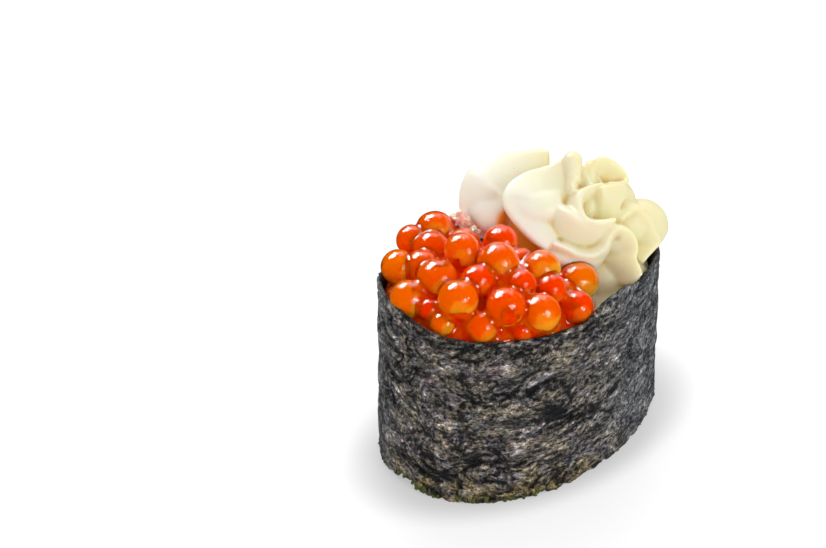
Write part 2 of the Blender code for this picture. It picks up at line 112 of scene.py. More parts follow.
# Nori sheet: green flakes on the lower edge
TATTERS = 46
TATTER_SPAN = (170, 280, 186)
TATTER_SIZE = (0.35 * MM, 0.95 * MM)
TATTER_THICKNESS = 0.07 * MM
TATTER_CORNERS = 7
TATTER_WIDTH = 0.7
TATTER_LEAN = (-0.2, 1.0)
TATTER_TWIST = (-0.4, 0.4)
TATTER_SLANT = (-0.6, 0.6)
TATTER_RISE = (0.2, 0.9)
TATTER_DEPTH = (-0.25, 0.35)
TATTER_RAGGED = (0.45, 1.0)
TATTER_GREEN = 1.3
TATTER_RADIUS = 21 * MM
TATTER_SEED = 3

# Rice
RICE_COLUMNS = 90
GRAIN_RADIUS = 1.0 * MM
GRAIN_LENGTH = 2.3 * MM
GRAIN_LENGTHS = (0.85, 1.1)
GRAIN_FLATNESS = 0.92
GRAIN_SWAY = 0.25
GRAIN_RISE = 1.3 * MM
GRAIN_STEP = 2.1 * MM
GRAIN_ROW = 0.8
GRAIN_SHIFT = 0.5
GRAIN_SCATTER = (0.4, 0.3)
GRAIN_COLUMNS = 34
GRAIN_DETAIL = 2
GRAIN_SEED = 8

# Roe: the heap's dome, then each egg that shows as x, y, z, radius and tone
HEAP_MIDDLE = Vector((-10.0, 1.0)) * MM
HEAP_REACH = Vector((16.0, 17.0)) * MM
HEAP_CROWN = 7.5 * MM
HEAP_EGGS = (
    (-8.5, 11.8, 34.6, 3.1, 0.45),
    (-12.6, 12.7, 34.0, 2.4, 0.35),
    (-12.3, 8.1, 34.5, 2.85, 0.3),
    (-18.9, 8.2, 33.7, 2.8, 0.8),
    (-11.2, 2.0, 36.6, 2.95, 0.5),
    (-17.4, 0.6, 34.8, 3.2, 0.5),
    (-22.1, 1.7, 32.5, 3.0, 0.7),
    (-4.2, 1.1, 35.8, 2.8, 0.15),
    (-9.3, -4.2, 36.7, 3.3, 0.45),
    (-3.0, -7.1, 34.5, 3.0, 0.65),
    (3.5, -8.5, 30.1, 3.3, 0.9),
    (-18.4, -5.5, 34.5, 3.15, 0.6),
    (-13.2, -10.5, 33.5, 3.1, 0.3),
    (-8.5, -13.2, 31.8, 3.15, 0.5),
    (-0.7, -12.9, 29.4, 2.65, 0.1),
    (-16.9, -9.2, 30.7, 2.6, 0.35),
    (-20.6, -4.7, 30.6, 2.2, 0.6),
    (-3.9, -10.3, 32.8, 2.5, 0.1),
    (-21.0, -1.9, 31.9, 1.9, 0.0),
    (-11.4, -12.3, 29.3, 2.5, 0.0),
    (-14.0, -4.8, 35.5, 2.7, 0.1),
    (-7.0, 6.5, 33.7, 2.8, 0.4),
    (-16.5, 5.5, 34.0, 2.8, 0.4),
)
FILL_LAYERS = ((0.2 * MM, 0.86), (2.2 * MM, 0.68))
FILL_STEP = 1.1 * MM
FILL_EGG = (2.25 * MM, 2.85 * MM)
FILL_TONE = 0.5
FILL_OVERHANG = 0.8
HEAP_SEED = 5
EGG_DETAIL = 4
EGG_UNEVEN = 0.02
EGG_SQUASH = 0.03
WALL_CLEAR = 0.35 * MM
CORE_DEPTH = 2.6 * MM
CORE_RIM_DEPTH = 2.5 * MM
CORE_COLUMNS = 96
CORE_RINGS = 18
JUICE_VOXEL = 0.3 * MM
JUICE_SMOOTHING = 18
EGG_SWAY = math.radians(25)
SKIN_SHARE = 0.4
SKIN_RADIUS = 0.09 * MM
SKIN_STEPS = 8
SKIN_CORNERS = 6
SKIN_TOUCH = 0.98
SKIN_STARTS = (-1.2, 0.2)
SKIN_SWEEPS = (0.3, 0.8)
SKIN_TONE = 0.5
SKIN_CRUMPLE = 0.5
BURST_SKINS = ((-4.5, 10.2, 35.5, 1.9), (-5.0, 6.5, 35.3, 1.2))
# Ways to the eggs' painted glows: a pale spot where light seen through the egg shows, and a pale crescent at
# the lower side where light gathers
EGG_LENS_GLOW_SIDE = (-0.41, -0.90, 0.10)
EGG_PALE_SIDE = (0.1, -0.62, -0.78)

# Where roe and cream meet
DIVIDE_X = 0.5 * MM
DIVIDE_SLANT = -0.17
DIVIDE_LEAN = -0.55
DIVIDE_BULGE = 4.0 * MM
DIVIDE_BULGE_Y = -8.5 * MM
DIVIDE_BULGE_WIDTH = 3.5 * MM

# Cream: core, then ridges as crest points, half width, depth, lean and hollow, in millimetres
CREAM_CORE_MIDDLE = Vector((10.5, 1.5, 28.0)) * MM
CREAM_CORE_REACH = Vector((12.5, 8.0, 12.5)) * MM
CREAM_CORE_TURN = math.radians(-42)
CREAM_EYE = Vector((8.0, -5.0, 42.0)) * MM
CREAM_RIDGES = (
    # outer lobe
    (((-3.0, 9.4, 33.6), (-3.2, 12.0, 35.6), (-2.5, 13.3, 37.6), (-0.8, 14.2, 40.1), (1.7, 14.0, 42.0),
      (5.8, 11.6, 43.5), (9.2, 8.5, 44.3), (10.5, 6.7, 44.5)), 3.2, 9.0, 0.8, 0.3),
    # face of the outer lobe
    (((-2.0, 11.6, 37.5), (-1.2, 9.7, 38.3), (-0.1, 8.0, 38.6), (1.1, 6.5, 38.9)), 4.4, 5.0),
    # big fold
    (((0.7, -4.2, 35.0), (-0.6, -1.1, 36.9), (-1.2, 2.7, 39.4), (-0.7, 4.7, 41.0), (1.4, 5.5, 42.5),
      (4.6, 5.2, 43.4), (7.4, 4.1, 43.8), (9.6, 2.9, 44.9)), 3.8, 9.0, 0.8),
    # face of the big fold
    (((-0.3, 4.5, 40.7), (0.9, 2.9, 41.2), (2.4, 1.5, 41.5), (4.2, 0.5, 41.6), (6.7, 0.2, 41.5)), 3.6, 4.0),
    # middle fold
    (((6.1, 1.9, 39.3), (5.1, -1.1, 40.2), (5.0, -3.3, 40.2), (5.5, -5.4, 39.7), (6.6, -7.0, 38.8),
      (8.2, -8.2, 38.5), (10.3, -8.4, 38.5)), 3.0, 8.0),
    # lip of the middle fold
    (((12.5, -4.0, 42.7), (10.2, -3.3, 42.5), (8.4, -3.2, 42.1), (7.2, -4.3, 40.9), (6.7, -5.8, 39.9),
      (7.0, -7.4, 39.3), (8.5, -8.5, 39.3), (11.0, -8.8, 39.0)), 1.6, 6.0, -0.4),
    # lower fold
    (((1.4, -4.5, 36.2), (2.9, -6.5, 35.4), (4.1, -8.0, 34.6), (5.9, -9.2, 34.3), (7.9, -9.6, 35.0),
      (9.2, -9.4, 36.7), (10.7, -9.6, 37.7), (12.0, -10.3, 37.3), (13.1, -11.0, 35.7), (13.2, -11.6, 33.8),
      (12.6, -11.9, 32.3), (12.9, -12.7, 30.9), (12.9, -13.2, 29.5), (12.4, -13.6, 27.9)), 2.2, 9.0, -0.3),
    # flank
    (((1.0, -4.1, 33.8), (2.2, -6.0, 33.5), (3.9, -7.8, 33.1), (5.8, -9.0, 33.1), (7.9, -9.0, 33.0),
      (9.6, -8.3, 33.1)), 3.0, 7.0),
    # right lobe
    (((12.8, -8.0, 37.5), (14.1, -7.9, 38.2), (15.6, -8.1, 38.7), (17.0, -8.5, 38.3), (17.9, -9.0, 36.7),
      (18.7, -9.6, 34.7), (19.2, -10.6, 32.5), (18.1, -10.7, 31.7), (16.6, -10.7, 30.8), (15.2, -10.7, 29.8)),
     2.8, 9.0, 0.5),
    # right middle fold
    (((11.3, -4.8, 42.6), (13.3, -5.0, 42.3), (15.4, -5.2, 41.7), (16.8, -5.4, 40.1), (16.9, -5.8, 37.8)),
     3.0, 8.0, 0.6),
    # cup rim
    (((13.0, -0.9, 45.4), (14.6, -1.0, 45.2), (16.4, -1.3, 44.3), (17.4, -2.2, 43.3), (17.9, -3.4, 42.1),
      (17.3, -4.4, 41.6), (15.5, -4.2, 41.8), (13.6, -3.7, 42.3)), 1.2, 6.0),
    # leaf between the nub and the cup
    (((13.0, 1.2, 43.0), (13.1, 0.3, 44.5), (12.5, -1.3, 43.6), (11.6, -2.4, 41.9), (10.6, -3.6, 40.1),
      (9.4, -4.7, 38.6)), 2.1, 6.0),
    # nub
    (((11.0, 2.2, 45.5), (10.1, 1.1, 44.7), (9.0, -0.3, 43.6), (7.7, -2.1, 42.5)), 1.3, 4.0),
    # back folds
    (((16.5, 1.3, 42.6), (20.0, 0.8, 39.4), (22.1, -0.4, 34.7), (22.5, -2.8, 32.0)), 3.2, 9.0, 0.3),
    (((16.7, 3.8, 41.7), (21.0, 4.6, 38.4), (24.1, 3.9, 33.5), (24.9, 2.5, 30.4)), 3.2, 9.0, 0.3),
    (((13.2, 4.3, 43.0), (17.5, 8.4, 39.1), (21.0, 9.3, 32.5)), 3.2, 9.0, 0.3),
    (((8.9, 9.1, 42.0), (10.9, 14.1, 37.7), (12.4, 14.5, 32.4)), 3.2, 9.0, 0.3),
    (((6.8, 12.2, 41.8), (6.6, 15.8, 38.0), (6.4, 17.7, 33.5), (5.8, 17.1, 29.4)), 3.2, 9.0, 0.3),
)
CREAM_BALLS = (
    ((6.1, 3.3, 34.2), (4.5, 4.5, 4.5)),  # under the big fold
    ((10.7, 1.4, 44.7), (1.55, 1.55, 1.6)),  # nub
    ((10.1, 0.6, 43.8), (1.35, 1.35, 1.5)),
    ((9.4, -0.4, 42.9), (1.1, 1.1, 1.4)),
    ((12.1, 0.3, 40.5), (2.6, 2.6, 2.6)),  # between the folds
    ((12.7, -1.9, 37.8), (3.4, 3.4, 3.4)),
    ((15.8, -2.7, 37.3), (3.6, 3.6, 3.6)),
    ((16.1, -6.0, 34.7), (3.2, 3.2, 3.2)),
    ((12.6, -7.5, 33.7), (2.6, 2.6, 2.6)),
    ((13.1, -4.5, 37.0), (2.2, 2.2, 2.2)),
    ((19.4, -5.5, 32.6), (4.4, 4.4, 4.4)),  # face of the right lobe
    ((11.5, -5.0, 24.7), (5.4, 5.4, 7.0)),  # front
    ((14.3, -8.5, 24.4), (4.4, 4.4, 4.4)),
    ((2.0, 10.8, 33.7), (3.9, 3.9, 3.9)),  # under the outer lobe
    ((12.5, 4.5, 27.5), (12.0, 11.0, 8.0)),  # base
)
RIDGE_STEP = 0.45 * MM
RIDGE_AROUND = 36
RIDGE_SHARPNESS = 0.4
RIDGE_ROUND_END = 0.45
RIDGE_END = 0.06
CREAM_VOXEL = 0.28 * MM
CREAM_SMOOTHING = 6
# Depth below the smoothed skin, as attribute name, smoothing rounds and full depth, for painted shade in tight
# folds and hollows
CREAM_HOLLOWS = (("fold", 80, 0.6 * MM), ("hollow", 500, 1.6 * MM))
EGG_DENT = 0.05 * MM
PLUG_COLUMNS = 160
PLUG_TOP = 26.0 * MM
RIM_ROOM = ((-22, 17, 3.0 * MM),)
RIM_ROOM_DEPTH = 9.0 * MM
OVERHANG_START = 0.5 * MM
OVERHANG_SLOPE = 2.0

# Juice on the cream's flank
STAIN_LINE = ((0.5, 3.6, 36.1), (2.0, 0.0, 31.7))
STAIN_CORE = 2.2 * MM
STAIN_FADE = 0.9 * MM

# Colours of the nori: casts along a cloud, low part, painted sheen at the sides, torn edge and painted shade
# on the inner face
NORI_CASTS = (
    (0.34, (0.118, 0.082, 0.082)), (0.44, (0.094, 0.090, 0.090)), (0.52, (0.112, 0.088, 0.066)),
    (0.60, (0.090, 0.084, 0.060)), (0.68, (0.102, 0.100, 0.104)),
)
NORI_OLIVE = (0.135, 0.100, 0.036)
NORI_SIDE_SHEEN = (0.124, 0.128, 0.132)
NORI_GREEN = (0.085, 0.108, 0.014)
NORI_INNER_SHADE = (0.012, 0.009, 0.006)
NORI_SHEEN = (0.8, 0.86, 1.0, 1.0)
NORI_FRONT = 59 * MM
NORI_SIDES = (12 * MM, 30 * MM)
NORI_FIBRES = ((15, 3.2 * MM, 0.6 * MM, 0.08), (-30, 2.6 * MM, 0.5 * MM, 0.08), (70, 2.2 * MM, 0.5 * MM, 0.06))

# Colours of the roe, along the eggs' tone, and of the juice; the pale tones are a painted glow of light
# passing through the eggs
EGG_DEEP = ((0.0, (1.0, 0.040, 0.0)), (0.5, (1.0, 0.120, 0.0)), (1.0, (1.0, 0.21, 0.0)))
EGG_PALE = ((0.0, (0.99, 0.13, 0.004)), (0.5, (1.0, 0.33, 0.012)), (1.0, (1.0, 0.46, 0.022)))
EGG_SKIN = (0.95, 0.62, 0.50)
EGG_GLOW = (1.0, 0.25, 0.04)
JUICE_TONES = ((0.35, (1.0, 0.020, 0.0)), (0.65, (1.0, 0.11, 0.0)))
JUICE_GLOW = (1.0, 0.2, 0.05)

# Colours of the cream: from the roe's side to the far end, painted shade in hollows and in tight folds, and
# under juice
CREAM_NEAR = (0.92, 0.91, 0.79)
CREAM_FAR = (0.86, 0.80, 0.50)
CREAM_TONE_ENDS = (0.0 * MM, 18.0 * MM)
CREAM_TONE_REACH = 6.0 * MM
CREAM_HOLLOW_SHADE = (0.89, 0.78, 0.36)
CREAM_FOLD_SHADE = (0.84, 0.60, 0.20)
CREAM_STAIN = (1.0, 0.46, 0.03)
CREAM_GLOW = (1.0, 0.75, 0.45)

# Colours of the rice and the floor
RICE_TONES = ((0.35, (0.78, 0.72, 0.64)), (0.65, (0.86, 0.81, 0.74)))
RICE_GLOW = (1.0, 0.8, 0.6)
FLOOR_COLOUR = (0.40, 0.40, 0.405, 1.0)
# The floor's own glow, weaker close to the food: a painted contact shadow
FLOOR_LIGHT = (0.36, 0.63)
FLOOR_LIGHT_ENDS = (1.02, 1.40)
FLOOR_REACH = 3.0
WHITE = (1.0, 1.0, 1.0, 1.0)

# Camera
CAMERA_AZIMUTH = math.radians(-42)
CAMERA_ELEVATION = math.radians(34)
CAMERA_DISTANCE = 477.0 * MM
CAMERA_TARGET = Vector((0.0, 0.0, 16.0)) * MM
CAMERA_LEFT = 17.8 * MM
CAMERA_UP = 10.35 * MM
CAMERA_LENS = 130.75
CAMERA_SENSOR = 36.0

# Lights: name, way, distance, size, power, and whether it lights more than the highlights
WORLD_LIGHT = 0.84
LIGHTS = (
    ("back_softbox", (0.42, 0.52, 0.74), 0.6, (0.5, 0.4), 1.2, True),
    ("front_fill", (0.0, -0.91, 0.41), 0.8, (0.3, 0.3), 1.25, True),
    ("back_gleam", (0.0, 0.67, 0.74), 0.5, (0.30, 0.20), 3.6, False),
    ("front_gleam", (0.0, -0.91, 0.41), 0.5, (0.07, 0.07), 0.25, False),
)


# -------- helpers

def smoothstep(value):
    """0 below 0, 1 above 1, and a smooth rise between."""
    value = min(max(value, 0.0), 1.0)
    return value * value * (3 - 2 * value)


def bump(turn, bumps):
    """Height at a turn of a row of local rises and dips."""
    height = 0.0
    for middle, width, rise in bumps:
        away = (math.degrees(turn) - middle + 180) % 360 - 180
        height += rise * math.exp(-((away / width) ** 2))
    return height


def outline(turn, height):
    """The band's outer face at a turn and a height."""
    scale = 1 + BAND_FLARE * (1 - height / BAND_HEIGHT)
    for cycles, cosine, sine in BAND_LOBES:
        scale += cosine * math.cos(cycles * turn) + sine * math.sin(cycles * turn)
    scale -= bump(turn, BAND_TUCKS) * max(1 - height / BAND_HEIGHT, 0.0)
    taper = 1 - BAND_TAPER * math.cos(turn)
    across = BAND_WIDTH / 2 * math.sin(turn) * taper
    return Vector((BAND_LENGTH / 2 * math.cos(turn), across)) * scale


def outward(turn, height):
    """The way that the band's outer face looks, at a turn."""
    step = math.radians(0.5)
    along = (outline(turn + step, height) - outline(turn - step, height)).normalized()
    return Vector((along.y, -along.x))


def inset(turn, height, depth):
    """The outline moved in by a depth, square to the band."""
    return outline(turn, height) - outward(turn, height) * depth


def rim_height(turn):
    """Height of the band's upper edge: a smooth closed curve through the named heights."""
    degrees = math.degrees(turn) % 360
    count = len(RIM)
    after = next((index for index in range(count) if RIM[index][0] > degrees), count)
    rows = [RIM[(after + shift) % count] for shift in (-2, -1, 0, 1)]
    near = rows[1][0]
    span = (rows[2][0] - near) % 360
    part = ((degrees - near) % 360) / span
    first, second, third, fourth = (row[1] for row in rows)
    line = (third - first) * part
    square = (2 * first - 5 * second + 4 * third - fourth) * part**2
    cube = (3 * second - first - 3 * third + fourth) * part**3
    return 0.5 * (2 * second + line + square + cube) * MM


def add_object(name, data):
    """An object in the scene."""
    item = bpy.data.objects.new(name, data)
    bpy.context.scene.collection.objects.link(item)
    return item


def mesh_object(name, points, faces):
    """An object from points and faces."""
    mesh = bpy.data.meshes.new(name)
    mesh.from_pydata([tuple(point) for point in points], [], faces)
    return add_object(name, mesh)


def bmesh_object(name, shape):
    """An object from a bmesh, its faces turned outwards."""
    bmesh.ops.recalc_face_normals(shape, faces=shape.faces)
    mesh = bpy.data.meshes.new(name)
    shape.to_mesh(mesh)
    shape.free()
    return add_object(name, mesh)


def unite(item, voxel, rounds):
    """Replace an object's overlapping parts with one skin, smoothed."""
    skin = item.modifiers.new("skin", "REMESH")
    skin.mode = "VOXEL"
    skin.voxel_size = voxel
    soften = item.modifiers.new("soften", "SMOOTH")
    soften.iterations = rounds
    depsgraph = bpy.context.evaluated_depsgraph_get()
    mesh = bpy.data.meshes.new_from_object(item.evaluated_get(depsgraph))
    item.modifiers.clear()
    item.data = mesh
    mesh.shade_smooth()


def read_points(mesh, field="co"):
    """A number from each point of a mesh, as rows of three."""
    values = np.empty(len(mesh.vertices) * 3)
    mesh.vertices.foreach_get(field, values)
    return values.reshape(-1, 3)


def join_rings(shape, rings):
    """Join rings of points into a closed tube with flat ends, in a bmesh."""
    for near, far in zip(rings, rings[1:]):
        for corner in range(len(near)):
            after = (corner + 1) % len(near)
            shape.faces.new((near[corner], near[after], far[after], far[corner]))
    shape.faces.new(reversed(rings[0]))
    shape.faces.new(rings[-1])


def add_prism(shape, heights, columns, side):
    """Add a closed solid between two heights to a bmesh, its outline given by a function."""
    rings = []
    for height in heights:
        turns = (2 * math.pi * column / columns for column in range(columns))
        rings.append([shape.verts.new((*side(turn, height), height)) for turn in turns])
    join_rings(shape, rings)


def turn_of(x, y):
    """The turn round the band at which a place lies."""
    return math.atan2(y / BAND_WIDTH, x / BAND_LENGTH)


def set_values(mesh, name, values, kind="FLOAT"):
    """Store one value for each point as a named attribute."""
    layer = mesh.attributes.new(name, kind, "POINT")
    field = "vector" if kind == "FLOAT_VECTOR" else "value"
    layer.data.foreach_set(field, np.asarray(values, dtype=np.float32).ravel())


def ball(mesh, middle, reach, detail, turn=0.0):
    """Add a ball or an ellipsoid to a bmesh."""
    scale = Matrix.Diagonal((*reach, 1.0))
    place = Matrix.Translation(middle) @ Matrix.Rotation(turn, 4, "Z") @ scale
    return bmesh.ops.create_icosphere(mesh, subdivisions=detail, radius=1.0, matrix=place)["verts"]


def divide(y, height):
    """Where along X the roe and the cream meet."""
    bulge = DIVIDE_BULGE * math.exp(-(((y - DIVIDE_BULGE_Y) / DIVIDE_BULGE_WIDTH) ** 2))
    lean = DIVIDE_LEAN * max(height - BAND_HEIGHT, 0.0)
    return DIVIDE_X + DIVIDE_SLANT * y + bulge + lean


# -------- shader helpers

class Nodes:
    """A material's node tree, with short ways to add and join nodes."""

    def __init__(self, name):
        self.material = bpy.data.materials.new(name)
        self.material.use_nodes = True
        self.tree = self.material.node_tree
        self.shader = self.tree.nodes["Principled BSDF"]

    def set(self, **values):
        """Set the shader's own sockets, with _ for a space."""
        for key, value in values.items():
            self.shader.inputs[key.replace("_", " ")].default_value = value

    def put(self, value, socket):
        """Feed a socket from a value or from another node's socket."""
        if isinstance(value, bpy.types.NodeSocket):
            self.tree.links.new(value, socket)
        else:
            socket.default_value = value

    def add(self, kind, inputs=(), **settings):
        """Add a node, set its own settings, and feed its inputs by name or number."""
        node = self.tree.nodes.new(kind)
        for key, value in settings.items():
            setattr(node, key, value)
        for key, value in dict(inputs).items():
            self.put(value, node.inputs[key])
        return node

    def math(self, operation, first, second=0.0):
        """A sum of two values."""
        return self.add("ShaderNodeMath", {0: first, 1: second}, operation=operation).outputs[0]

    def swing(self, value, middle, gain):
        """How far a value is from a middle, times a gain."""
        return self.math("MULTIPLY", self.math("SUBTRACT", value, middle), gain)

    def vector_math(self, operation, first, second=(0, 0, 0), output="Vector"):
        """A sum of two vectors."""
        return self.add("ShaderNodeVectorMath", {0: first, 1: second}, operation=operation).outputs[output]

    def part_x(self, vector):
        """The first part of a vector."""
        return self.add("ShaderNodeSeparateXYZ", {"Vector": vector}).outputs["X"]

    def value_of(self, name):
        """A stored number of the mesh."""
        return self.add("ShaderNodeAttribute", attribute_name=name).outputs["Fac"]

    def vector_of(self, name):
        """A stored vector of the mesh."""
        return self.add("ShaderNodeAttribute", attribute_name=name).outputs["Vector"]

    def place(self):
        """The point on the object, in metres."""
        return self.add("ShaderNodeTexCoord").outputs["Object"]

    def stretched(self, vector, scale):
        """A vector whose patterns are stretched or squeezed."""
        return self.add("ShaderNodeMapping", {"Vector": vector, "Scale": scale}).outputs["Vector"]

    def noise(self, vector, size, detail=2.0, roughness=0.5, distortion=0.0, output="Fac"):
        """Noise whose pattern is a size in metres."""
        inputs = {"Vector": vector, "Scale": 1 / size, "Detail": detail}
        inputs.update(Roughness=roughness, Distortion=distortion)
        return self.add("ShaderNodeTexNoise", inputs).outputs[output]

    def ramp(self, value, *stops):
        """A colour ramp through (place, colour) stops."""
        node = self.add("ShaderNodeValToRGB", {"Fac": value})
        elements = node.color_ramp.elements
        while len(elements) < len(stops):
            elements.new(0.5)
        for element, (place, colour) in zip(elements, stops):
            element.position = place
            element.color = (*colour, 1.0)
        return node.outputs["Color"]

    def fit(self, value, low, high, to_low=0.0, to_high=1.0):
        """A value spread from one range to another, and clamped."""
        inputs = {"Value": value, "From Min": low, "From Max": high, "To Min": to_low, "To Max": to_high}
        return self.add("ShaderNodeMapRange", inputs, interpolation_type="SMOOTHSTEP").outputs["Result"]

    def blend(self, share, first, second):
        """Two colours mixed."""
        node = self.add("ShaderNodeMix", data_type="RGBA")
        self.put(share, node.inputs[0])
        for value, socket in ((first, node.inputs[6]), (second, node.inputs[7])):
            self.put(value if isinstance(value, bpy.types.NodeSocket) else (*value, 1.0), socket)
        return node.outputs[2]

    def bump(self, height, distance, strength=1.0):
        """A surface direction tilted by a height pattern."""
        inputs = {"Height": height, "Distance": distance, "Strength": strength}
        return self.add("ShaderNodeBump", inputs).outputs["Normal"]

    def join(self, **sockets):
        """Feed the shader's sockets, with _ for a space."""
        for key, value in sockets.items():
            self.put(value, self.shader.inputs[key.replace("_", " ")])


# -------- materials

def strands(made, sheet, turn, length, width, thin):
    """Fibres of the sheet: bright lines, long one way."""
    inputs = {"Vector": sheet, "Rotation": (0, 0, math.radians(turn)), "Scale": (length, width, 1.0)}
    along = made.add("ShaderNodeMapping", inputs, vector_type="TEXTURE").outputs["Vector"]
    wave = made.noise(along, 1.0, 2, 0.5, 0.4)
    away = made.math("ABSOLUTE", made.math("SUBTRACT", wave, 0.5))
    return made.math("SUBTRACT", 1.0, made.fit(away, 0.0, thin))


def nori_hue(made, bent, side_sheen):
    """Colour casts of the sheet before its light and dark marks, with a painted slate sheen towards its sides.
    """
    cloud = made.noise(bent, 4 * MM, 5, 0.65)
    olive = made.fit(made.math("ADD", made.value_of("low"), made.math("MULTIPLY", cloud, 2.2)), 1.6, 2.3)
    hue = made.blend(olive, made.ramp(cloud, *NORI_CASTS), NORI_OLIVE)
    return made.blend(side_sheen, hue, NORI_SIDE_SHEEN)


def nori_light(made, bent, net, mottle):
    """Light and dark marks of the sheet, as a power: its clouds, fibres, painted shade in its creases, and
    pits.
    """
    coarse = made.noise(made.stretched(bent, (0.7, 1.3, 1.0)), 3.2 * MM, 3, 0.5)
    light = made.math("ADD", made.swing(coarse, 0.5, 6.5), made.swing(mottle, 0.5, 12.0))
    light = made.math("ADD", light, made.swing(net, 0.75, 0.55))
    # Painted shade: darker along the sheet's creases
    light = made.math("SUBTRACT", light, made.math("MULTIPLY", made.value_of("crease"), 2.0))
    pits = made.fit(made.noise(bent, 0.7 * MM, 3, 0.6, 0.5), 0.56, 0.68)
    light = made.math("SUBTRACT", light, made.math("MULTIPLY", pits, 1.3))
    bright = made.math("ADD", made.math("MULTIPLY", made.math("MAXIMUM", light, 0.0), 0.74), 0.08)
    return made.math("ADD", bright, made.math("MULTIPLY", made.math("MINIMUM", light, 0.0), 1.7))


def nori_material():
    """Dried seaweed: charcoal with purple, brown and olive casts, pale fibres and dark pits, painted shade in
    its creases and on its inner face, and a painted sheen towards its sides.
    """
    made = Nodes("nori")
    sheet = made.vector_of("sheet")
    warp = made.noise(sheet, 6 * MM, 2.0, output="Color")
    bent = made.vector_math("ADD", sheet, made.vector_math("MULTIPLY", warp, (2.5 * MM, 2.5 * MM, 0.0)))
    # Painted sheen: the sheet turns paler, slate and lower in contrast away from its front
    away = made.math("ABSOLUTE", made.math("SUBTRACT", made.part_x(bent), NORI_FRONT))
    side_sheen = made.fit(away, *NORI_SIDES, 0.0, 0.9)
    first, second, third = (strands(made, bent, *fibres) for fibres in NORI_FIBRES)
    net = made.math("ADD", made.math("ADD", first, second), third)
    mottle = made.noise(made.stretched(bent, (0.85, 1.15, 1.0)), 0.8 * MM, 4, 0.75, 0.3)
    light = nori_light(made, bent, net, mottle)
    light = made.math("MULTIPLY", light, made.math("SUBTRACT", 1.0, made.math("MULTIPLY", side_sheen, 0.25)))
    inputs = {0: nori_hue(made, bent, side_sheen), "Scale": made.math("POWER", math.e, light)}
    colour = made.add("ShaderNodeVectorMath", inputs, operation="SCALE").outputs["Vector"]
    ragged = made.math("ADD", made.value_of("edge"), made.swing(mottle, 0.5, 1.8))
    colour = made.blend(made.fit(ragged, 0.45, 1.1), colour, NORI_GREEN)
    # Painted shade on the inner face of the band
    colour = made.blend(made.value_of("inner"), colour, NORI_INNER_SHADE)
    made.join(Base_Color=colour)
    made.join(Roughness=made.fit(mottle, 0.35, 0.65, 0.34, 0.62))
    rise = made.math("ADD", made.math("MULTIPLY", net, 0.22), made.math("MULTIPLY", mottle, 1.6))
    made.join(Normal=made.bump(rise, 0.30 * MM))
    made.set(Specular_IOR_Level=0.3, Sheen_Weight=0.08, Sheen_Roughness=0.5, Sheen_Tint=NORI_SHEEN)
    return made.material


def roe_material():
    """Salmon egg: a glossy, translucent orange-red skin, with a painted glow where light gathers at its lower
    side and a painted pale spot where light seen through it shows.
    """
    made = Nodes("roe")
    spot = made.vector_of("spot")
    tone = made.value_of("tone")
    uneven = made.swing(made.noise(made.place(), 1.6 * MM, 3, 0.6, 0.6), 0.5, 0.6)
    # Painted light: a pale crescent where light gathers at the lower side, and a pale spot where light seen
    # through the egg shows
    low = made.vector_math("DOT_PRODUCT", spot, EGG_PALE_SIDE, "Value")
    lens_glow = made.vector_math("DOT_PRODUCT", spot, EGG_LENS_GLOW_SIDE, "Value")
    crescent = made.fit(made.math("ADD", low, uneven), 0.30, 0.60)
    lens_glow = made.math("ADD", lens_glow, made.math("MULTIPLY", uneven, 0.3))
    window = made.math("MULTIPLY", made.fit(lens_glow, 0.80, 0.92), 0.6)
    bright = made.math("MAXIMUM", crescent, window)
    colour = made.blend(bright, made.ramp(tone, *EGG_DEEP), made.ramp(tone, *EGG_PALE))
    made.join(Base_Color=made.blend(made.value_of("skin"), colour, EGG_SKIN))
    crinkle = made.bump(made.noise(made.place(), 0.65 * MM, 2, 0.6, 1.0), 0.075 * MM)
    made.join(Normal=crinkle, Coat_Normal=crinkle)
    made.set(Roughness=0.05, IOR=1.4, Coat_Weight=1.0, Coat_Roughness=0.03, Coat_IOR=1.5)
    made.set(Subsurface_Weight=1.0, Subsurface_Radius=EGG_GLOW, Subsurface_Scale=1.4 * MM)
    return made.material


def core_material():
    """Roe juice that fills the heap between and under the eggs."""
    made = Nodes("roe_juice")
    cloud = made.noise(made.place(), 2 * MM, 3, 0.5)
    made.join(Base_Color=made.ramp(cloud, *JUICE_TONES), Normal=made.bump(cloud, 0.15 * MM, 0.4))
    made.set(Roughness=0.05, Coat_Weight=1.0, Coat_Roughness=0.03, Coat_IOR=1.5)
    made.set(Subsurface_Weight=1.0, Subsurface_Radius=JUICE_GLOW, Subsurface_Scale=3.0 * MM)
    return made.material


